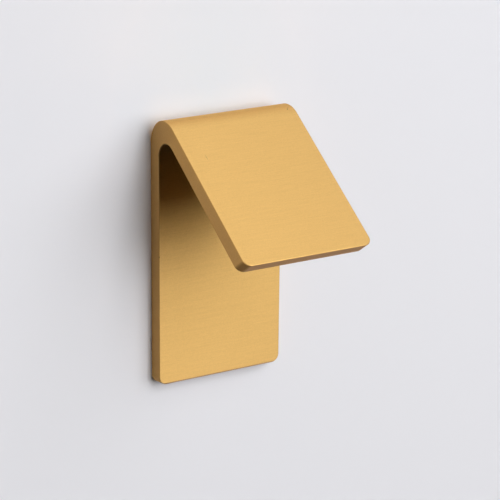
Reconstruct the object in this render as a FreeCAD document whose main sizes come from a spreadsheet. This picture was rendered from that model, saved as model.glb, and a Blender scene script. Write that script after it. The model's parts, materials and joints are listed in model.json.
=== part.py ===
import FreeCAD, Part
import math
import os
import Sketcher

# Tab pull: a flat back plate that folds over at its top into a sloping flap, all one piece of brass.
# The plate's rear face lies on the plane Y = 0 and the flap reaches out towards -Y.
# X runs across the pull, +Z is up, and the origin is midway between the two fixing holes.

NODE = "tab_pull"

# Driving dimensions in millimetres and degrees
SIZES = [
    ("width", 25.4),               # across the plate and the flap
    ("height", 50.8),              # plate's front bottom edge to the top of the fold
    ("reach", 34.3),               # rear face to the flap's outer end edge, before that edge is broken
    ("thickness", 3.175),          # of the plate and of the flap
    ("flap_angle", 56.5),          # between the plate and the flap
    ("fold_outer_radius", 5.4),    # round of the fold, seen from outside
    ("fold_inner_radius", 3.175),  # round of the fold, in the finger gap
    ("corner_radius", 1.5),        # plate's two bottom corners and flap's two end corners
    ("bevel_angle", 21.0),         # how far the flap's end leans back from square, towards its underside
    ("base_angle", 9.0),           # how far the plate's bottom end leans, lower at the rear
    ("edge_radius", 0.15),         # break of every outer edge
    ("hole_spacing", 32.0),        # between the two fixing holes
    ("hole_height", 8.0),          # plate's front bottom edge to the lower hole
    ("thread_diameter", 4.0),      # of the fixing screws' thread
    ("hole_floor", 0.7),           # metal left in front of each blind hole
    ("mouth_chamfer", 0.3),        # at the mouth of each hole
    ("mouth_angle", 90.0),         # between opposite sides of that chamfer
]

# Expressions on the sheet: depth of the front bottom edge below the origin, and height of the flap's
# outer end edge above that edge
BOTTOM = "Sizes.hole_height + Sizes.hole_spacing / 2"
TIP_HEIGHT = (
    "Sizes.height - Sizes.fold_outer_radius * (1 - sin(Sizes.flap_angle * 1 deg))"
    " - (Sizes.reach - Sizes.fold_outer_radius * (1 + cos(Sizes.flap_angle * 1 deg)))"
    " / tan(Sizes.flap_angle * 1 deg)"
)

# Sketch references: an element's points, the sketch's two axes and its origin
START, END, CENTRE = range(1, 4)
LEVEL_AXIS, UPRIGHT_AXIS = range(-1, -3, -1)
ORIGIN = (LEVEL_AXIS, START)

# Faces that meet at less than this many degrees make a smooth edge, which isn't broken
SMOOTH_TURN = 10

doc = FreeCAD.newDocument("TabPull")
sheet = doc.addObject("Spreadsheet::Sheet", "Sizes")
for row, (alias, value) in enumerate(SIZES, start=1):
    sheet.set(f"A{row}", alias)
    sheet.set(f"B{row}", str(value))
    sheet.setAlias(f"B{row}", alias)
doc.recompute()

body = doc.addObject("PartDesign::Body", "TabPull")
body.Label = NODE


def size(name):
    """Value of a driving dimension, read from the sheet."""
    return float(sheet.get(name))


def bottom_level():
    """Height of the plate's front bottom edge, below the origin."""
    return -size("hole_height") - size("hole_spacing") / 2


def rear_drop():
    """How much lower the plate's rear bottom edge is than its front one."""
    return size("thickness") * math.tan(math.radians(size("base_angle")))


def sketch_on(plane, name):
    """New sketch of the body, on one of its origin planes."""
    sketch = body.newObject("Sketcher::SketchObject", name)
    support = next(feature for feature in body.Origin.OriginFeatures if feature.Role == plane)
    sketch.AttachmentSupport = [(support, "")]
    sketch.MapMode = "FlatFace"
    return sketch


def line(start, end):
    return Part.LineSegment(FreeCAD.Vector(*start, 0), FreeCAD.Vector(*end, 0))


def circle(centre, radius):
    return Part.Circle(FreeCAD.Vector(*centre, 0), FreeCAD.Vector(0, 0, 1), radius)


def relate(sketch, rules):
    """Geometric constraints, one for each rule."""
    for rule in rules:
        sketch.addConstraint(Sketcher.Constraint(*rule))


def dimension(sketch, name, formula, *constraint):
    """Dimensional constraint that follows the sheet."""
    index = sketch.addConstraint(Sketcher.Constraint(*constraint))
    sketch.renameConstraint(index, name)
    sketch.setExpression(f"Constraints.{name}", formula)


def draw_profile():
    """Section of the folded piece with a square flap end, and the place of its outer end edge."""
    sketch = sketch_on("YZ_Plane", "Profile")
    thick, outer, inner = size("thickness"), size("fold_outer_radius"), size("fold_inner_radius")
    angle = math.radians(size("flap_angle"))
    bottom = bottom_level()
    rear_bottom = bottom - rear_drop()
    outward = (-math.cos(angle), math.sin(angle))
    along = (-math.sin(angle), -math.cos(angle))
    turn = math.pi - angle

    outer_centre = (-outer, bottom + size("height") - outer)
    outer_end = [c + outer * n for c, n in zip(outer_centre, outward)]
    flap_run = (size("reach") + outer_end[0]) / math.sin(angle)
    tip = [p + flap_run * a for p, a in zip(outer_end, along)]
    tip_inner = [p - thick * n for p, n in zip(tip, outward)]
    inner_y = -thick - inner
    rise = ((outer_end[0] - inner_y) * outward[0] - thick - inner) / outward[1]
    inner_centre = (inner_y, outer_end[1] + rise)
    inner_end = [c + inner * n for c, n in zip(inner_centre, outward)]

    back, fold, flap_face, flap_end, flap_under, gap_round, front, base = range(8)
    sketch.addGeometry([
        line((0, rear_bottom), (0, outer_centre[1])),
        Part.ArcOfCircle(circle(outer_centre, outer), 0, turn),
        line(outer_end, tip),
        line(tip, tip_inner),
        line(tip_inner, inner_end),
        Part.ArcOfCircle(circle(inner_centre, inner), 0, turn),
        line((-thick, inner_centre[1]), (-thick, bottom)),
        line((-thick, bottom), (0, rear_bottom)),
    ])
    relate(sketch, [
        ("Tangent", back, END, fold, START),
        ("Tangent", fold, END, flap_face, START),
        ("Coincident", flap_face, END, flap_end, START),
        ("Coincident", flap_end, END, flap_under, START),
        ("Tangent", flap_under, END, gap_round, END),
        ("Tangent", gap_round, START, front, START),
        ("Coincident", front, END, base, START),
        ("Coincident", base, END, back, START),
        ("Vertical", back),
        ("Vertical", front),
        ("Parallel", flap_face, flap_under),
        ("Perpendicular", flap_face, flap_end),
        ("PointOnObject", back, START, UPRIGHT_AXIS),
    ])
    dimension(sketch, "bottom", BOTTOM, "DistanceY", base, START, *ORIGIN, -bottom)
    dimension(sketch, "base_slope", "-Sizes.base_angle * 1 deg",
              "Angle", base, -math.radians(size("base_angle")))
    dimension(sketch, "plate_thickness", "Sizes.thickness", "DistanceX", base, START, base, END, thick)
    dimension(sketch, "flap_thickness", "Sizes.thickness", "Distance", flap_end, thick)
    dimension(sketch, "flap_slope", "-(90 + Sizes.flap_angle) * 1 deg",
              "Angle", flap_face, -math.pi / 2 - angle)
    dimension(sketch, "outer_radius", "Sizes.fold_outer_radius", "Radius", fold, outer)
    dimension(sketch, "inner_radius", "Sizes.fold_inner_radius", "Radius", gap_round, inner)
    dimension(sketch, "fold_height", "Sizes.height - Sizes.fold_outer_radius",
              "DistanceY", base, START, fold, CENTRE, size("height") - outer)
    dimension(sketch, "reach", "Sizes.reach", "DistanceX", flap_face, END, back, START, size("reach"))
    return sketch, tip


def pad_profile(sketch):
    """The folded piece over its full width, centred on X = 0."""
    pad = body.newObject("PartDesign::Pad", "FoldedPiece")
    pad.Profile = sketch
    pad.SideType = "Symmetric"
    pad.setExpression("Length", "Sizes.width")
    doc.recompute()
    return pad


def round_edges(base, name, radius_name, is_wanted):
    """Fillet of the wanted edges of a feature, with its radius from the sheet."""
    fillet = body.newObject("PartDesign::Fillet", name)
    numbered = enumerate(base.Shape.Edges, start=1)
    fillet.Base = (base, [f"Edge{number}" for number, edge in numbered if is_wanted(edge)])
    fillet.setExpression("Radius", f"Sizes.{radius_name}")
    doc.recompute()
    return fillet


def round_corners(base, tip):
    """Rounds the plate's bottom corners and the flap's end corners, each along its own leaning end."""
    half_thick = size("thickness") / 2
    half_width = size("width") / 2
    close = half_thick / 50
    bevel = math.radians(size("bevel_angle"))
    lean = math.radians(size("flap_angle")) - bevel
    half_end = half_thick / math.cos(bevel)
    corners = [
        FreeCAD.Vector(0, -half_thick, bottom_level() - rear_drop() / 2),
        FreeCAD.Vector(0, tip[0] + half_end * math.cos(lean), tip[1] - half_end * math.sin(lean)),
    ]

    def is_corner(edge):
        middle = edge.CenterOfMass
        at_side = abs(abs(middle.x) - half_width) < close
        middle.x = 0
        return at_side and min(middle.distanceToPoint(corner) for corner in corners) < close

    return round_edges(base, "Corners", "corner_radius", is_corner)


def bevel_flap_end(tip):
    """Cuts the flap's end back on its underside, from the outer edge, so that the end leans inwards."""
    sketch = sketch_on("YZ_Plane", "BevelWedge")
    lean = math.radians(size("flap_angle") - size("bevel_angle"))
    run = 2 * size("thickness")
    foot = (tip[0], tip[1] - run * math.tan(lean))
    heel = (tip[0] + run, foot[1])
    drop, floor, slope = range(3)
    sketch.addGeometry([line(tip, foot), line(foot, heel), line(heel, tip)])
    relate(sketch, [
        ("Coincident", drop, END, floor, START),
        ("Coincident", floor, END, slope, START),
        ("Coincident", slope, END, drop, START),
        ("Vertical", drop),
        ("Horizontal", floor),
    ])
    dimension(sketch, "tip_reach", "Sizes.reach", "DistanceX", drop, START, *ORIGIN, size("reach"))
    dimension(sketch, "tip_height", f"{TIP_HEIGHT} - ({BOTTOM})", "DistanceY", *ORIGIN, drop, START, tip[1])
    dimension(sketch, "wedge_run", "2 * Sizes.thickness", "DistanceX", floor, START, floor, END, run)
    dimension(sketch, "wedge_slope", "(180 - Sizes.flap_angle + Sizes.bevel_angle) * 1 deg",
              "Angle", slope, math.pi - lean)
    doc.recompute()
    pocket = body.newObject("PartDesign::Pocket", "EndBevel")
    pocket.Profile = sketch
    pocket.SideType = "Symmetric"
    pocket.Type = "ThroughAll"
    doc.recompute()
    return pocket


def turn_across(shape, edge):
    """Angle in degrees between the faces that meet in an edge, taken at its middle."""
    middle = edge.valueAt((edge.FirstParameter + edge.LastParameter) / 2)
    beside = [face for face in shape.Faces if any(edge.isSame(other) for other in face.Edges)]
    first, second = [face.normalAt(*face.Surface.parameter(middle)) for face in beside]
    return math.degrees(first.getAngle(second))


def break_edges(base):
    """Small round on every edge that isn't already smooth."""
    return round_edges(base, "EdgeBreak", "edge_radius",
                       lambda edge: turn_across(base.Shape, edge) > SMOOTH_TURN)


def drill_holes():
    """Two blind fixing holes from the rear face, one above the other."""
    sketch = sketch_on("XZ_Plane", "HoleCentres")
    half = size("hole_spacing") / 2
    radius = size("thread_diameter") / 2
    upper, lower = range(2)
    for hole, height in ((upper, half), (lower, -half)):
        sketch.addGeometry(circle((0, height), radius))
        relate(sketch, [("PointOnObject", hole, CENTRE, UPRIGHT_AXIS)])
        dimension(sketch, f"hole_radius_{hole}", "Sizes.thread_diameter / 2", "Radius", hole, radius)
    dimension(sketch, "upper_hole", "Sizes.hole_spacing / 2", "DistanceY", *ORIGIN, upper, CENTRE, half)
    dimension(sketch, "lower_hole", "Sizes.hole_spacing / 2", "DistanceY", lower, CENTRE, *ORIGIN, half)
    doc.recompute()
    holes = body.newObject("PartDesign::Hole", "FixingHoles")
    holes.Profile = sketch
    doc.recompute()
    holes.Reversed = True
    holes.DepthType = "Dimension"
    holes.DrillPoint = "Flat"
    holes.HoleCutType = "Countersink"
    holes.setExpression("Diameter", "Sizes.thread_diameter")
    holes.setExpression("Depth", "Sizes.thickness - Sizes.hole_floor")
    holes.setExpression("HoleCutDiameter", "Sizes.thread_diameter + 2 * Sizes.mouth_chamfer")
    holes.setExpression("HoleCutCountersinkAngle", "Sizes.mouth_angle")
    doc.recompute()
    return holes


profile, tip_edge = draw_profile()
folded = pad_profile(profile)
beveled = bevel_flap_end(tip_edge)
cornered = round_corners(beveled, tip_edge)
broken = break_edges(cornered)
drilled = drill_holes()

# Every object has to be sound, and every step after the first has to take metal away
for item in doc.Objects:
    if "Invalid" in item.State or "Error" in item.State:
        raise RuntimeError(f"{item.Name} failed: {item.State}")
stages = [folded, beveled, cornered, broken, drilled]
for before, after in zip(stages, stages[1:]):
    if after.Shape.Volume >= before.Shape.Volume:
        raise RuntimeError(f"{after.Name} took nothing away")
if body.Shape.isNull() or not body.Shape.isValid() or len(body.Shape.Solids) != 1:
    raise RuntimeError("the pull isn't one sound solid")

os.makedirs("parts", exist_ok=True)
body.Shape.exportStep(f"parts/{body.Label}.step")
box = body.Shape.optimalBoundingBox(True, False)
print(f"{body.Label}: {box.XLength:.3f} x {box.YLength:.3f} x {box.ZLength:.3f} mm")
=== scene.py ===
import json
import math

import bmesh
import bpy
from bpy.props import FloatProperty, FloatVectorProperty, IntProperty, PointerProperty
from bpy.types import Operator, Panel, PropertyGroup
from mathutils import Matrix, Vector


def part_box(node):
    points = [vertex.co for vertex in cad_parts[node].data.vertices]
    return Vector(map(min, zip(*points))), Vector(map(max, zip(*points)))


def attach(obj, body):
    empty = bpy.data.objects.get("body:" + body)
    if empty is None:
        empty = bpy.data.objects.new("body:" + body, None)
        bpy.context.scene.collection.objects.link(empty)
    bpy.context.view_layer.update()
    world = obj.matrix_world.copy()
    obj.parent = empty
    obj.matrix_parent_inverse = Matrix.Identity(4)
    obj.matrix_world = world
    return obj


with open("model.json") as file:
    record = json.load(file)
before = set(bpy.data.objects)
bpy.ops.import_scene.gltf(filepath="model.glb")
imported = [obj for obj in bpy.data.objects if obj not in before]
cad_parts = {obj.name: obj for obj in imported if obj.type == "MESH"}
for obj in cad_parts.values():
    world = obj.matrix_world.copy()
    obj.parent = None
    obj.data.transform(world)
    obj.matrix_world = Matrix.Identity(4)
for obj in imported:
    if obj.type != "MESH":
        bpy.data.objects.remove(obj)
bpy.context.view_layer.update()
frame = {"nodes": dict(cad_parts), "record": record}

bl_info = {
    "name": "Tab Pull",
    "version": (1, 0, 0),
    "blender": (4, 5, 0),
    "location": "3D View > Sidebar > Tab Pull",
    "description": "Satin brass, threaded fixing holes and a wall with studio light for a folded tab pull",
    "category": "Object",
}

MM = 0.001
BODY = "root"
PULL = "tab_pull"
SLOT = "satin_brass"

# Directions in the part's frame, whose wall is at the back
RIGHT = (1, 0, 0)
LEFT = (-1, 0, 0)
OUTWARD = (0, -1, 0)
BACKWARD = (0, 1, 0)
UPWARD = (0, 0, 1)

# Cosines over which a face comes to count as turned to one side, to a corner, back, up or into the recess
SIDE_RANGE = (0.15, 0.45)
CORNER_RANGE = (0.80, 0.95)
TURNED_RANGE = (-0.5, -0.1)
UPWARD_RANGE = (0.02, 0.1)
RECESS_RANGE = (0.05, 0.15)

# Distance over which a tint comes in at the border of its place
BORDER = 0.1 * MM

# Distance from the wall over which the side tint fades, and the share of it that the flap's sides keep: the
# tint is painted shade for the shadowed wall that the sides reflect
SIDE_FADE = (3.5 * MM, 9.0 * MM)
FLAP_SIDE_SHARE = 0.4

# Range of the cosine over which the tint of an end comes in
END_RANGE = 0.1

# Cut ends of flap and plate: way each faces, least distance that way, and cosine at which its tint begins;
# the plate's low cosine takes the tint round the bottom edge's break, as a painted dark line of shade
CUT_ENDS = (
    ((0, -0.581, -0.814), 12.0 * MM, 0.85),
    ((0, -0.156, -0.988), 23.94 * MM, 0.05),
)

# Rounded corners of the flap's end: the way each faces, and how far out from the wall they begin
FLAP_CORNERS = ((-0.71, -0.41, -0.57), (0.71, -0.41, -0.57))
FLAP_CORNER_REACH = 30.0 * MM

# Axis of the fold's inner arc, and the directions across it
RECESS_AXIS = (0, -6.35 * MM, 19.63 * MM)
ACROSS_AXIS = (0, 1, 1)

# Way that the faces of the recess under the flap look, and how near the axis its painted shade is darkest
RECESS_FACING = (0, -0.2, -1)
RECESS_SHADE_CORE = 3 * MM

# Brushed grain: way of its lines, detail of its two noises, and the range of their sum that is used
BRUSHED_LINES = (1.0, 0.0, 0.01)
HAIRLINE_DETAIL = 2.0
SPECKLE_DETAIL = 1.0
GRAIN_RANGE = (0.6, 1.4)

# Rim of a mark, and how near its middle it is darkest, as shares of its half sizes
MARK_FADE = (1.0, 0.3)

# Small marks of wear: middle, direction, half length and half width in millimetres, and darkness
MARKS = (
    ((-9.10, -14.20, 22.05), (0.06, -0.75, -0.50), 0.80, 0.09, 0.30),
    ((11.30, -7.25, 26.47), (0.50, 0.50, 0.20), 0.24, 0.14, 0.60),
    ((11.62, -6.85, 26.60), (0.70, 0.65, 0.25), 0.35, 0.08, 0.30),
    ((-12.70, -3.17, 0.92), (0, 0, 1), 0.24, 0.18, 0.55),
    ((-12.70, -1.89, 9.36), (0, 0, 1), 0.14, 0.12, 0.35),
)

# Ridge of the metric thread: widths at its root and crest, and depth, as shares of the pitch
ROOT_SHARE = 0.875
CREST_SHARE = 0.25
DEPTH_SHARE = 0.5413

# Angle between faces up to which the ridge is shaded smooth
SMOOTH_ANGLE = math.radians(30)

# Warm glow that the fold throws up on the wall, evened out by a darker, cooler patch of painted shade:
# middle, half widths, and height over which it sets in
GLOW_MIDDLE = (-1 * MM, 0, 24 * MM)
GLOW_SPREAD = (20 * MM, 20 * MM, 30 * MM)
GLOW_RISE = 6 * MM

# Softboxes, and whether each lights the matt wall too or only shows in the metal
LAMPS = {"key": True, "strip": True, "low": True, "fill": False}

# Settings that each softbox has
LAMP_PARTS = ("direction", "size", "power")

# Upward share of a direction over which the room's light sets in, and backward share for that behind the wall
HORIZON = (-0.05, 0.1)
WALL_PLANE = (-0.01, 0.01)

# Width of the camera's sensor in millimetres
SENSOR_WIDTH = 36

brass_row = next(row for row in frame["record"]["materials"] if row["slot"] == SLOT)
holes_row = next(row for row in frame["record"]["mounts"] if row["name"] == "fixing_holes")


def lamp_direction(label, azimuth, elevation):
    return FloatVectorProperty(
        name=f"{label} Direction", description="Azimuth and elevation of the softbox, seen from the pull",
        size=2, unit="ROTATION", default=(math.radians(azimuth), math.radians(elevation)))


def lamp_size(label, width, height):
    return FloatVectorProperty(
        name=f"{label} Size", description="Width and height of the softbox", size=2, unit="LENGTH",
        default=(width, height))


def lamp_power(label, power):
    return FloatProperty(
        name=f"{label} Power", description="Power of the softbox", unit="POWER", min=0, default=power)


class TabPullBrass(PropertyGroup):
    """Finish of the brass"""
    tint: FloatVectorProperty(
        name="Tint", description="Colour of the brushed faces", subtype="COLOR", min=0, max=1,
        default=brass_row["base_color"])
    # Painted shade: the cut sides are darker and browner close to the wall, whose shadow they reflect
    side_shade_tint: FloatVectorProperty(
        name="Side Tint", description="Colour of the plate's cut sides, close to the wall", subtype="COLOR",
        min=0, max=1, default=(0.63, 0.395, 0.148))
    # Partly the cut ends' own duller colour and partly painted shade, which also makes a thin dark line along
    # the plate's bottom edge
    end_tint_and_shade: FloatVectorProperty(
        name="End Tint", description="Colour of the cut ends", subtype="COLOR", min=0, max=1,
        default=(0.605, 0.365, 0.177))
    # Painted shade: the rounded corners of the flap's end are darker, for the dim room below and to the left
    # that they reflect
    corner_shade_tint: FloatVectorProperty(
        name="Corner Tint", description="Colour of the dull corners of the flap's end", subtype="COLOR",
        min=0, max=1, default=(0.42, 0.24, 0.077))
    # Painted shade that darkens the brass deep in the recess under the flap, deeper than the lamps' own shade
    # there
    recess_painted_shade: FloatProperty(
        name="Recess Shade", description="How much darker the brass is deep in the recess under the flap",
        subtype="FACTOR", min=0, max=1, default=0.5)
    # Reach of that painted shade from the fold's axis
    recess_shade_reach: FloatProperty(
        name="Recess Depth", description="How far from the fold's axis the darker brass reaches",
        unit="LENGTH", default=14 * MM)
    shade: FloatProperty(
        name="Mottling", description="How far the grain moves the colour either way", subtype="FACTOR",
        min=0, max=1, default=0.05)
    roughness: FloatProperty(
        name="Roughness", description="Mean roughness of the brushed faces", subtype="FACTOR",
        min=0, max=1, default=0.50)
    cut_roughness: FloatProperty(
        name="Cut Roughness", description="Roughness of the cut sides, the ends and the fold",
        subtype="FACTOR", min=0, max=1, default=0.85)
    roughness_spread: FloatProperty(
        name="Roughness Spread", description="How far the grain moves the roughness either way",
        subtype="FACTOR", min=0, max=0.5, default=0.05)
    anisotropy: FloatProperty(
        name="Brushing", description="How much rougher the faces are across the brushed lines",
        subtype="FACTOR", min=0, max=1, default=0.8)
    hairline_length: FloatProperty(
        name="Hairline Length", description="Length of the brushed lines, across the width",
        unit="LENGTH", default=5 * MM)
    hairline_width: FloatProperty(
        name="Hairline Width", description="Width of a brushed line", unit="LENGTH", default=0.12 * MM)
    speckle_size: FloatProperty(
        name="Speckle Size", description="Size of the fine speckle between the lines", unit="LENGTH",
        default=0.22 * MM)
    grain_depth: FloatProperty(
        name="Grain Depth", description="Depth of the brushed lines", unit="LENGTH", default=0.004 * MM)


class TabPullThread(PropertyGroup):
    """Internal thread of the fixing holes"""
    radius: FloatProperty(
        name="Major Radius", description="Radius of the plain hole, at the thread's root", unit="LENGTH",
        default=holes_row["dims"]["hole_r_mm"] * MM)
    spacing: FloatProperty(
        name="Hole Spacing", description="Between the two holes, one above the other", unit="LENGTH",
        default=holes_row["dims"]["spacing_y_mm"] * MM)
    pitch: FloatProperty(
        name="Pitch", description="Advance of the thread in one turn", unit="LENGTH", default=0.7 * MM)
    chamfer: FloatProperty(
        name="Mouth Chamfer", description="Depth of the chamfer at the hole's mouth", unit="LENGTH",
        default=0.3 * MM)
    turns: IntProperty(
        name="Turns", description="Whole turns, from inside the hole's floor to outside its mouth",
        min=1, default=4)
    segments: IntProperty(
        name="Segments", description="Straight runs in one turn", min=12, default=64)


class TabPullStage(PropertyGroup):
    """Wall, light and camera"""
    wall_tint: FloatVectorProperty(
        name="Wall Tint", description="Colour of the painted wall", subtype="COLOR", min=0, max=1,
        default=(0.88, 0.877, 0.915))
    # Painted shade: the paint just above the fold is darker and cooler, to even out the warm glow that the
    # brass throws there
    wall_glow_shade: FloatVectorProperty(
        name="Wall Balance", description="Colour of the paint just above the fold, which evens out its glow",
        subtype="COLOR", min=0, max=1, default=(0.757, 0.820, 0.888))
    wall_size: FloatProperty(
        name="Wall Size", description="Width and height of the wall", unit="LENGTH", default=1.2)
    lamp_distance: FloatProperty(
        name="Lamp Distance", description="From the pull to each softbox", unit="LENGTH", default=1.2)
    key_direction: lamp_direction("Key", 8, 26)
    key_size: lamp_size("Key", 0.42, 0.99)
    key_power: lamp_power("Key", 9.5)
    strip_direction: lamp_direction("Strip", 40, 25)
    strip_size: lamp_size("Strip", 0.34, 1.39)
    strip_power: lamp_power("Strip", 3.9)
    low_direction: lamp_direction("Low", 22, 6)
    low_size: lamp_size("Low", 0.51, 0.64)
    low_power: lamp_power("Low", 2.3)
    fill_direction: lamp_direction("Fill", -38, 5)
    fill_size: lamp_size("Fill", 0.45, 2.4)
    fill_power: lamp_power("Fill", 3.6)
    room_light: FloatProperty(
        name="Room Light", description="Light of the room above the horizon", min=0, default=0.1)
    floor_light: FloatProperty(
        name="Floor Light", description="Light of the dim room below the horizon", min=0, default=0.01)
    pale_light: FloatProperty(
        name="Pale Light", description="Light behind the wall, and of the room as it is seen", min=0,
        default=0.8)
    azimuth: FloatProperty(
        name="Camera Azimuth", description="Camera's turn about the upright axis, from square on",
        subtype="ANGLE", default=math.radians(-30.1967))
    elevation: FloatProperty(
        name="Camera Elevation", description="Camera's height above level", subtype="ANGLE",
        default=math.radians(19.0069))
    roll: FloatProperty(
        name="Camera Roll", description="Camera's turn about its own line of sight", subtype="ANGLE",
        default=math.radians(0.6065))
    aim: FloatVectorProperty(
        name="Camera Aim", description="Point at the middle of the picture", subtype="TRANSLATION",
        unit="LENGTH", default=(9.6316 * MM, 2.7285 * MM, -3.0901 * MM))
    distance: FloatProperty(
        name="Camera Distance", description="From the aim point to the camera", unit="LENGTH",
        default=397.601 * MM)
    focal_length: FloatProperty(
        name="Focal Length", description="On a 36 mm sensor, in millimetres", default=152.3215)


def deselect_all():
    for item in bpy.context.selected_objects:
        item.select_set(False)


def select_vertices(is_wanted):
    """Selects the vertices of the mesh in edit mode that are in a wanted place."""
    mesh = bmesh.from_edit_mesh(bpy.context.edit_object.data)
    bpy.ops.mesh.select_all(action="DESELECT")
    for vertex in mesh.verts:
        vertex.select_set(is_wanted(vertex.co))
    mesh.select_flush_mode()
    bmesh.update_edit_mesh(bpy.context.edit_object.data)


def apply_modifier(piece, kind, **settings):
    """Adds one modifier to a piece and applies it."""
    bpy.ops.object.modifier_add(type=kind)
    modifier = piece.modifiers[-1]
    for name, value in settings.items():
        setattr(modifier, name, value)
    bpy.ops.object.modifier_apply(modifier=modifier.name)


def new_material(name):
    """Material with one principled shader, as its tree and that shader."""
    material = bpy.data.materials.new(name)
    material.use_nodes = True
    return material, material.node_tree, material.node_tree.nodes["Principled BSDF"]


def add_node(tree, kind, **settings):
    node = tree.nodes.new(f"ShaderNode{kind}")
    for name, value in settings.items():
        setattr(node, name, value)
    return node


def combine(tree, operation, values):
    """One value from several, taken in their order."""
    result = values[0]
    for value in values[1:]:
        node = add_node(tree, "Math", operation=operation)
        tree.links.new(result, node.inputs[0])
        tree.links.new(value, node.inputs[1])
        result = node.outputs["Value"]
    return result


def product(tree, *values):
    return combine(tree, "MULTIPLY", values)


def strongest(tree, *values):
    return combine(tree, "MAXIMUM", values)


def remap(tree, value, old, new=(0, 1)):
    """Takes a value from the old range to the new one, and holds it there."""
    node = add_node(tree, "MapRange")
    node.inputs["From Min"].default_value, node.inputs["From Max"].default_value = old
    node.inputs["To Min"].default_value, node.inputs["To Max"].default_value = new
    tree.links.new(value, node.inputs["Value"])
    return node.outputs["Result"]


def split(tree, vector, axis):
    """One axis of a vector."""
    node = add_node(tree, "SeparateXYZ")
    tree.links.new(vector, node.inputs["Vector"])
    return node.outputs[axis]


def vector_math(tree, operation, vector, other=None):
    """Node that works on a vector, and on a fixed second one where it takes two."""
    node = add_node(tree, "VectorMath", operation=operation)
    tree.links.new(vector, node.inputs[0])
    if other is not None:
        node.inputs[1].default_value = other
    return node


def along(tree, vector, direction):
    """Length of a vector along a direction."""
    return vector_math(tree, "DOT_PRODUCT", vector, direction).outputs["Value"]


def length(tree, vector):
    return vector_math(tree, "LENGTH", vector).outputs["Value"]


def share_of_reach(tree, place, middle, half_sizes, turn=(0, 0, 0)):
    """Distance from a middle as a share of the half sizes about it: 1 at the rim."""
    mapping = add_node(tree, "Mapping", vector_type="TEXTURE")
    mapping.inputs["Location"].default_value = middle
    mapping.inputs["Rotation"].default_value = turn
    mapping.inputs["Scale"].default_value = half_sizes
    tree.links.new(place, mapping.inputs["Vector"])
    return length(tree, mapping.outputs["Vector"])


def stretched_noise(tree, place, lengths, detail):
    """Noise with features of the given lengths along X, Y and Z."""
    mapping = add_node(tree, "Mapping")
    mapping.inputs["Scale"].default_value = [1 / size for size in lengths]
    tree.links.new(place, mapping.inputs["Vector"])
    noise = add_node(tree, "TexNoise")
    noise.inputs["Scale"].default_value = 1.0
    noise.inputs["Detail"].default_value = detail
    tree.links.new(mapping.outputs["Vector"], noise.inputs["Vector"])
    return noise.outputs["Fac"]


def side_faces(tree, normal):
    """1 on the sides and the rounded corners, and 0 on the faces between them."""
    sideways = strongest(tree, along(tree, normal, RIGHT), along(tree, normal, LEFT))
    return remap(tree, sideways, SIDE_RANGE)


def is_past(tree, place, direction, reach):
    """1 further than a reach along a direction, and 0 nearer."""
    return remap(tree, along(tree, place, direction), (reach, reach + BORDER))


def end_face(tree, place, normal, direction, reach, least):
    """1 on one cut end, and 0 elsewhere."""
    is_facing = remap(tree, along(tree, normal, direction), (least, least + END_RANGE))
    return product(tree, is_facing, is_past(tree, place, direction, reach))


def corner_faces(tree, place, normal):
    """1 on the two rounded corners of the flap's end, and 0 elsewhere."""
    turned = strongest(tree, *[along(tree, normal, direction) for direction in FLAP_CORNERS])
    is_rounded = remap(tree, turned, CORNER_RANGE)
    return product(tree, is_rounded, is_past(tree, place, OUTWARD, FLAP_CORNER_REACH))


def bend_faces(tree, normal):
    """1 on the outside of the fold, and 0 on the flat faces."""
    is_turned = remap(tree, along(tree, normal, BACKWARD), TURNED_RANGE)
    is_upward = remap(tree, along(tree, normal, UPWARD), UPWARD_RANGE)
    return product(tree, is_turned, is_upward)


def recess_painted_shade_faces(tree, place, normal, depth):
    """Painted shade: 1 deep in the recess under the flap, and 0 outside it."""
    offset = vector_math(tree, "SUBTRACT", place, RECESS_AXIS).outputs["Vector"]
    across = vector_math(tree, "MULTIPLY", offset, ACROSS_AXIS).outputs["Vector"]
    is_inner = remap(tree, along(tree, normal, RECESS_FACING), RECESS_RANGE)
    is_deep = remap(tree, length(tree, across), (depth, RECESS_SHADE_CORE))
    return product(tree, is_inner, is_deep)


def tint_faces(tree, faces, colour, tint):
    """Turns a plain colour, or one from a node, to a tint on some faces."""
    mix = add_node(tree, "Mix", data_type="RGBA")
    mix.inputs["B"].default_value = (*tint, 1)
    if isinstance(colour, bpy.types.NodeSocket):
        tree.links.new(colour, mix.inputs["A"])
    else:
        mix.inputs["A"].default_value = (*colour, 1)
    tree.links.new(faces, mix.inputs["Factor"])
    return mix.outputs["Result"]


def mark_of_wear(tree, place, middle, direction, half_length, half_width, darkness):
    """Darkness of one small mark, which fades towards its rim."""
    half_sizes = Vector((half_length, half_width, half_width)) * MM
    turn = Vector(direction).to_track_quat("X", "Z").to_euler()
    reach = share_of_reach(tree, place, Vector(middle) * MM, half_sizes, turn)
    return remap(tree, reach, MARK_FADE, (0, darkness))


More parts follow.
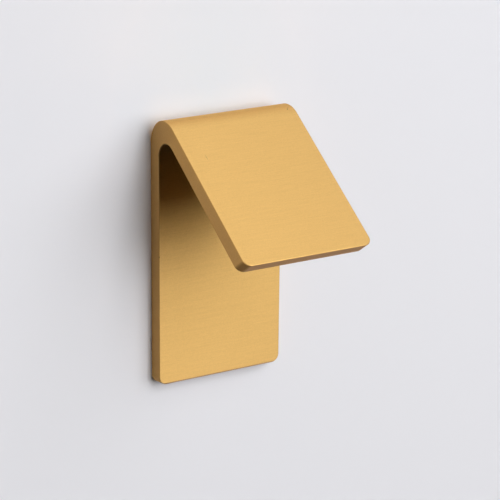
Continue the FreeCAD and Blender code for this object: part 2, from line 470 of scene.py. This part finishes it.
def satin_brass(brass):
    """Satin brass, brushed across the width and dull on the cut sides and ends, with painted shade in the
    recess, on the sides near the wall, on the ends and on the flap's end corners.
    """
    material, tree, shader = new_material("satin_brass_brushed")
    surface = add_node(tree, "TexCoord")
    place, normal = surface.outputs["Object"], surface.outputs["Normal"]

    line_sizes = (brass.hairline_length, brass.hairline_width, brass.hairline_width)
    hairlines = stretched_noise(tree, place, line_sizes, HAIRLINE_DETAIL)
    speckle = stretched_noise(tree, place, (brass.speckle_size,) * 3, SPECKLE_DETAIL)
    grain = remap(tree, combine(tree, "ADD", (hairlines, speckle)), GRAIN_RANGE)

    sides = side_faces(tree, normal)
    ends = strongest(tree, *[end_face(tree, place, normal, *row) for row in CUT_ENDS])
    unbrushed = strongest(tree, sides, ends, bend_faces(tree, normal))
    # Painted shade on the sides, strongest close to the wall and fading to a share on the flap's sides
    near_wall_shade = remap(tree, along(tree, place, OUTWARD), SIDE_FADE, (1, FLAP_SIDE_SHARE))
    colour = tint_faces(tree, product(tree, sides, near_wall_shade), brass.tint, brass.side_shade_tint)
    # End tint: the cut ends' own colour with painted shade, and a painted dark line of shade along the
    # plate's bottom edge
    colour = tint_faces(tree, ends, colour, brass.end_tint_and_shade)
    # Painted shade on the rounded corners of the flap's end
    colour = tint_faces(tree, corner_faces(tree, place, normal), colour, brass.corner_shade_tint)

    wear = strongest(tree, *[mark_of_wear(tree, place, *row) for row in MARKS])
    # Painted shade deep in the recess under the flap darkens the tone, together with the grain and the marks
    # of wear
    recess = recess_painted_shade_faces(tree, place, normal, brass.recess_shade_reach)
    tone = product(
        tree,
        remap(tree, grain, (0, 1), (1 - brass.shade, 1 + brass.shade)),
        remap(tree, wear, (0, 1), (1, 0)),
        remap(tree, recess, (0, 1), (1, 1 - brass.recess_painted_shade)),
    )
    toned = add_node(tree, "VectorMath", operation="SCALE")
    tree.links.new(colour, toned.inputs["Vector"])
    tree.links.new(tone, toned.inputs["Scale"])
    tree.links.new(toned.outputs["Vector"], shader.inputs["Base Color"])

    roughest = brass.roughness + brass.roughness_spread
    smoothest = brass.roughness - brass.roughness_spread
    roughness = add_node(tree, "Mix", data_type="FLOAT")
    roughness.inputs["B"].default_value = brass.cut_roughness
    tree.links.new(unbrushed, roughness.inputs["Factor"])
    tree.links.new(remap(tree, grain, (0, 1), (roughest, smoothest)), roughness.inputs["A"])
    tree.links.new(roughness.outputs["Result"], shader.inputs["Roughness"])

    bump = add_node(tree, "Bump")
    bump.inputs["Strength"].default_value = 1.0
    bump.inputs["Distance"].default_value = brass.grain_depth
    tree.links.new(grain, bump.inputs["Height"])
    tree.links.new(bump.outputs["Normal"], shader.inputs["Normal"])

    along_lines = add_node(tree, "CombineXYZ")
    for axis, share in zip("XYZ", BRUSHED_LINES):
        along_lines.inputs[axis].default_value = share
    tree.links.new(along_lines.outputs["Vector"], shader.inputs["Tangent"])
    quarter_turn = 0.25
    tree.links.new(remap(tree, unbrushed, (0, 1), (brass.anisotropy, 0)), shader.inputs["Anisotropic"])
    shader.inputs["Anisotropic Rotation"].default_value = quarter_turn
    shader.inputs["Metallic"].default_value = 1.0
    return material


def fold_shade(tree, place):
    """1 on the strip of wall that the fold covers, and 0 elsewhere."""
    low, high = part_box(PULL)
    inside = 0.2 * MM
    x, z = split(tree, place, "X"), split(tree, place, "Z")
    return product(
        tree,
        remap(tree, x, (low.x, low.x + inside)),
        remap(tree, x, (high.x, high.x - inside)),
        remap(tree, z, (high.z, high.z - inside)),
        remap(tree, z, (0, inside)),
    )


def wall_paint(stage):
    """Matt wall paint, with a patch of painted shade just above the fold, that is seen from the front and
    lets the view through from behind.
    """
    material, tree, shader = new_material("wall_paint")
    place = add_node(tree, "TexCoord").outputs["Object"]
    # Patch of painted shade just above the fold, which evens out the brass's warm glow on the wall
    is_near = remap(tree, share_of_reach(tree, place, GLOW_MIDDLE, GLOW_SPREAD), (1, 0))
    is_above = remap(tree, split(tree, place, "Z"), (GLOW_MIDDLE[2] - GLOW_RISE, GLOW_MIDDLE[2]))
    colour = tint_faces(tree, product(tree, is_near, is_above), stage.wall_tint, stage.wall_glow_shade)
    tree.links.new(colour, shader.inputs["Base Color"])
    shader.inputs["Roughness"].default_value = 1.0
    shader.inputs["Specular IOR Level"].default_value = 0.0

    clear = add_node(tree, "BsdfTransparent")
    behind = add_node(tree, "NewGeometry").outputs["Backfacing"]
    unseen = remap(tree, add_node(tree, "LightPath").outputs["Is Camera Ray"], (0, 1), (1, 0))
    clearness = strongest(tree, behind, product(tree, unseen, fold_shade(tree, place)))
    sides = add_node(tree, "MixShader")
    tree.links.new(clearness, sides.inputs["Fac"])
    tree.links.new(shader.outputs["BSDF"], sides.inputs[1])
    tree.links.new(clear.outputs["BSDF"], sides.inputs[2])
    tree.links.new(sides.outputs["Shader"], tree.nodes["Material Output"].inputs["Surface"])
    return material


def model_thread_ridge(thread):
    """One helical ridge about the Y axis, cut by the cone of the mouth's chamfer and closed at its ends."""
    root_width = ROOT_SHARE * thread.pitch
    crest_width = CREST_SHARE * thread.pitch
    ridge_depth = DEPTH_SHARE * thread.pitch
    sunk = 0.03 * MM
    outer = thread.radius + sunk
    crest = thread.radius - ridge_depth
    above_mouth = 0.1 * MM
    start = above_mouth - thread.turns * thread.pitch

    deselect_all()
    bpy.ops.mesh.primitive_plane_add(size=1)
    ridge = bpy.context.object
    bpy.ops.object.mode_set(mode="EDIT")
    bpy.ops.transform.resize(value=(outer - crest, root_width, 1), center_override=(0, 0, 0))
    bpy.ops.transform.translate(value=((outer + crest) / 2, start, 0))
    select_vertices(lambda place: place.x < thread.radius - ridge_depth / 2)
    bpy.ops.transform.resize(value=(1, crest_width / root_width, 1), center_override=(crest, start, 0))
    bpy.ops.mesh.select_all(action="SELECT")
    bpy.ops.mesh.delete(type="ONLY_FACE")
    bpy.ops.object.mode_set(mode="OBJECT")
    apply_modifier(ridge, "SCREW", axis="Y", screw_offset=thread.pitch, iterations=thread.turns,
                   steps=thread.segments, render_steps=thread.segments)
    bpy.ops.object.mode_set(mode="EDIT")
    bpy.ops.mesh.select_mode(type="VERT")
    bpy.ops.mesh.select_all(action="DESELECT")
    bpy.ops.mesh.select_non_manifold()
    bpy.ops.mesh.fill_holes(sides=4)
    bpy.ops.mesh.select_all(action="SELECT")
    bpy.ops.mesh.normals_make_consistent(inside=False)
    bpy.ops.object.mode_set(mode="OBJECT")

    beyond = 0.5 * MM
    cone_height = thread.radius + thread.chamfer + beyond
    deselect_all()
    bpy.ops.mesh.primitive_cone_add(
        vertices=2 * thread.segments, radius1=0, radius2=cone_height, depth=cone_height,
        location=(0, beyond - cone_height / 2, 0), rotation=(-math.pi / 2, 0, 0))
    countersink = bpy.context.object
    bpy.ops.object.transform_apply(location=True, rotation=True, scale=True)
    deselect_all()
    ridge.select_set(True)
    bpy.context.view_layer.objects.active = ridge
    apply_modifier(ridge, "BOOLEAN", operation="DIFFERENCE", solver="EXACT", object=countersink)
    bpy.data.objects.remove(countersink)
    bpy.ops.object.shade_smooth_by_angle(angle=SMOOTH_ANGLE)
    return ridge


def add_wall(stage):
    """Upright wall at the pull's rear face, with a window that the plate and the fold cover."""
    low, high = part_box(PULL)
    hidden = 0.1 * MM
    corner_radius = 1.7 * MM
    corner_segments = 8
    below_top = 4.8 * MM
    window_width = high.x - low.x - 2 * hidden
    window_bottom = low.z + hidden
    window_top = high.z - below_top
    window_height = window_top - window_bottom

    deselect_all()
    bpy.ops.mesh.primitive_plane_add(size=1, rotation=(math.pi / 2, 0, 0))
    wall = bpy.context.object
    wall.name = "wall"
    bpy.ops.object.transform_apply(location=True, rotation=True, scale=True)
    bpy.ops.object.mode_set(mode="EDIT")
    bpy.ops.transform.resize(value=(window_width, 1, window_height), center_override=(0, 0, 0))
    bpy.ops.transform.translate(value=(0, 0, (window_top + window_bottom) / 2))
    select_vertices(lambda place: place.z < 0)
    bpy.ops.mesh.bevel(offset=corner_radius - hidden, segments=corner_segments, affect="VERTICES")
    bpy.ops.mesh.select_all(action="SELECT")
    bpy.ops.mesh.delete(type="ONLY_FACE")
    bpy.ops.mesh.select_all(action="SELECT")
    bpy.ops.mesh.extrude_edges_indiv()
    bpy.ops.transform.resize(value=(stage.wall_size / window_width, 1, stage.wall_size / window_height),
                             center_override=(0, 0, 0))
    bpy.ops.object.mode_set(mode="OBJECT")
    wall.data.materials.append(wall_paint(stage))


def add_softbox(name, direction, size, power, distance, lights_wall):
    """Soft rectangular lamp that faces the pull."""
    azimuth, elevation = direction
    turn = Matrix.Rotation(azimuth, 3, "Z") @ Matrix.Rotation(math.pi / 2 - elevation, 3, "X")
    deselect_all()
    bpy.ops.object.light_add(type="AREA", location=turn @ Vector((0, 0, distance)), rotation=turn.to_euler())
    lamp = bpy.context.object
    lamp.name = name
    lamp.data.shape = "RECTANGLE"
    lamp.data.size, lamp.data.size_y = size
    lamp.data.energy = power
    lamp.visible_diffuse = lights_wall


def light_room(stage):
    """Pale room, dim below the horizon for the deep shade under the flap, and bright behind the wall."""
    world = bpy.data.worlds.new("room")
    world.use_nodes = True
    tree = world.node_tree
    direction = add_node(tree, "TexCoord").outputs["Generated"]
    front = remap(tree, split(tree, direction, "Z"), HORIZON, (stage.floor_light, stage.room_light))
    behind = remap(tree, split(tree, direction, "Y"), WALL_PLANE, (0, stage.pale_light))
    seen = remap(tree, add_node(tree, "LightPath").outputs["Is Camera Ray"], (0, 1), (0, stage.pale_light))
    strength = strongest(tree, front, behind, seen)
    background = tree.nodes["Background"]
    background.inputs["Color"].default_value = (1, 1, 1, 1)
    tree.links.new(strength, background.inputs["Strength"])
    bpy.context.scene.world = world


def add_camera(stage):
    turn = (Matrix.Rotation(stage.azimuth, 3, "Z")
            @ Matrix.Rotation(math.pi / 2 - stage.elevation, 3, "X")
            @ Matrix.Rotation(stage.roll, 3, "Z"))
    place = Vector(stage.aim) + turn @ Vector((0, 0, stage.distance))
    deselect_all()
    bpy.ops.object.camera_add(location=place, rotation=turn.to_euler())
    camera = bpy.context.object
    camera.data.lens = stage.focal_length
    camera.data.sensor_width = SENSOR_WIDTH
    bpy.context.scene.camera = camera


class TABPULL_OT_finish_body(Operator):
    """Gives the folded body its satin brass"""
    bl_idname = "tab_pull.finish_body"
    bl_label = "Finish the Body"

    def execute(self, context):
        pull = frame["nodes"][PULL]
        material = satin_brass(context.scene.tab_pull_brass)
        for slot in pull.material_slots:
            slot.material = material
        return {"FINISHED"}


class TABPULL_OT_thread_holes(Operator):
    """Adds the internal threads of the two fixing holes"""
    bl_idname = "tab_pull.thread_holes"
    bl_label = "Thread the Holes"

    def execute(self, context):
        thread = context.scene.tab_pull_thread
        upper = model_thread_ridge(thread)
        upper.name = "upper_thread"
        bpy.ops.object.duplicate(linked=False)
        lower = bpy.context.object
        lower.name = "lower_thread"
        for piece, height in ((upper, thread.spacing / 2), (lower, -thread.spacing / 2)):
            deselect_all()
            piece.select_set(True)
            bpy.context.view_layer.objects.active = piece
            piece.location = (0, 0, height)
            bpy.ops.object.transform_apply(location=True, rotation=True, scale=True)
            piece.data.name = piece.name
            piece.data.materials.clear()
            piece.data.materials.append(frame["nodes"][PULL].material_slots[0].material)
            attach(piece, BODY)
        return {"FINISHED"}


class TABPULL_OT_set_stage(Operator):
    """Sets the wall, the light and the camera"""
    bl_idname = "tab_pull.set_stage"
    bl_label = "Set the Stage"

    def execute(self, context):
        stage = context.scene.tab_pull_stage
        add_wall(stage)
        light_room(stage)
        for name, lights_wall in LAMPS.items():
            settings = [getattr(stage, f"{name}_{part}") for part in LAMP_PARTS]
            add_softbox(f"{name}_softbox", *settings, stage.lamp_distance, lights_wall)
        add_camera(stage)
        context.scene.view_settings.view_transform = "Standard"
        return {"FINISHED"}


class TABPULL_PT_sidebar(Panel):
    """Lists the steps and their settings"""
    bl_label = "Tab Pull"
    bl_idname = "TABPULL_PT_sidebar"
    bl_space_type = "VIEW_3D"
    bl_region_type = "UI"
    bl_category = "Tab Pull"

    def draw(self, context):
        for operator, group in STEPS:
            settings = getattr(context.scene, group)
            column = self.layout.column()
            column.operator(operator)
            for name in settings.__annotations__:
                column.prop(settings, name)


STEPS = (
    ("tab_pull.finish_body", "tab_pull_brass"),
    ("tab_pull.thread_holes", "tab_pull_thread"),
    ("tab_pull.set_stage", "tab_pull_stage"),
)
GROUPS = {
    "tab_pull_brass": TabPullBrass,
    "tab_pull_thread": TabPullThread,
    "tab_pull_stage": TabPullStage,
}
CLASSES = (
    *GROUPS.values(),
    TABPULL_OT_finish_body,
    TABPULL_OT_thread_holes,
    TABPULL_OT_set_stage,
    TABPULL_PT_sidebar,
)


def register():
    for item in CLASSES:
        bpy.utils.register_class(item)
    for name, group in GROUPS.items():
        setattr(bpy.types.Scene, name, PointerProperty(type=group))


def unregister():
    for name in GROUPS:
        delattr(bpy.types.Scene, name)
    for item in reversed(CLASSES):
        bpy.utils.unregister_class(item)


def main():
    register()
    bpy.ops.tab_pull.finish_body()
    bpy.ops.tab_pull.thread_holes()
    bpy.ops.tab_pull.set_stage()


if __name__ == "__main__":
    main()
